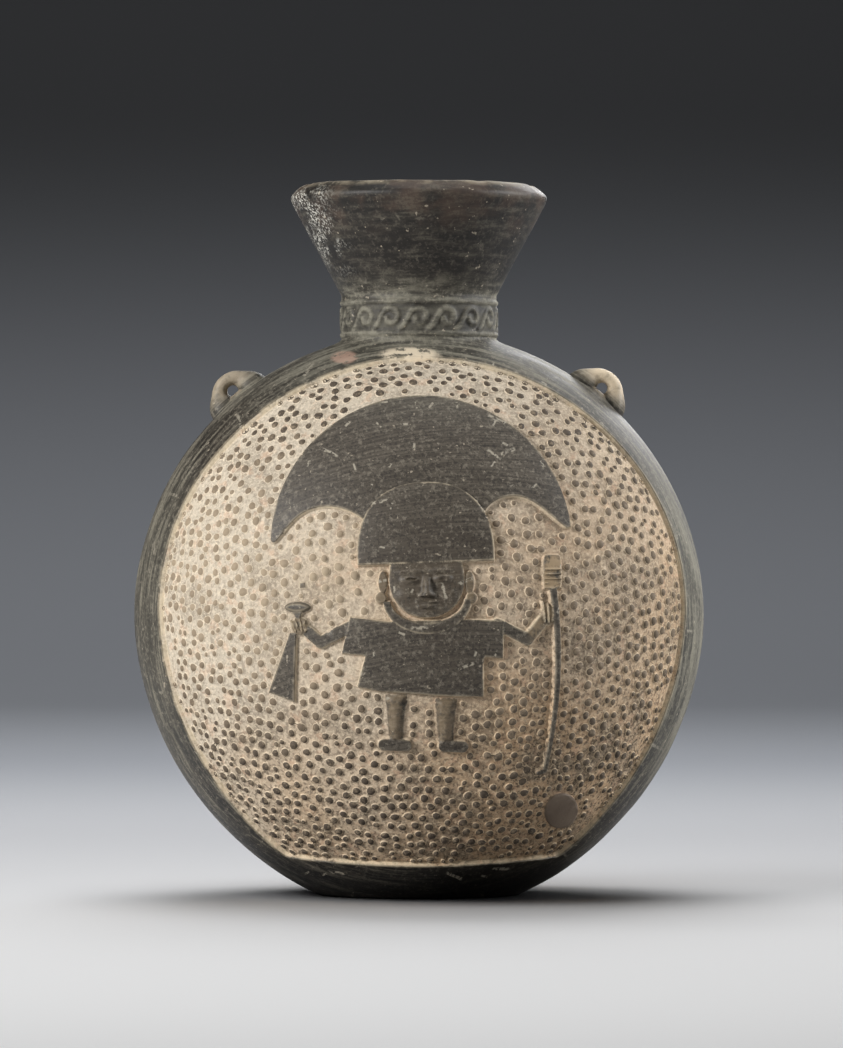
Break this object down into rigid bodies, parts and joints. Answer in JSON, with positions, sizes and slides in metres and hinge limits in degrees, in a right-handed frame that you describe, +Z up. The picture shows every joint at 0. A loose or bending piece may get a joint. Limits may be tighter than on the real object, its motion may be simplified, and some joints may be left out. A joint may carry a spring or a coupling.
{
  "type": "relief jar",
  "caption": "Round earthenware flask with a flaring mouth, scroll band, pierced shoulder lugs and a sunk front panel with a standing figure in relief; stands on a flat base.",
  "frame": {"origin": "middle of the flat base, on the surface that the jar stands on", "axes": "+Z up through the mouth, the relief figure faces -Y, +X is to the right of someone facing the figure"},
  "size_m": [0.24, 0.1888, 0.299],
  "materials": {
    "blackware": "burnished dark clay with a rubbed tan panel"
  },
  "bodies": {
    "root": {"jar": "blackware"}
  },
  "joints": []
}
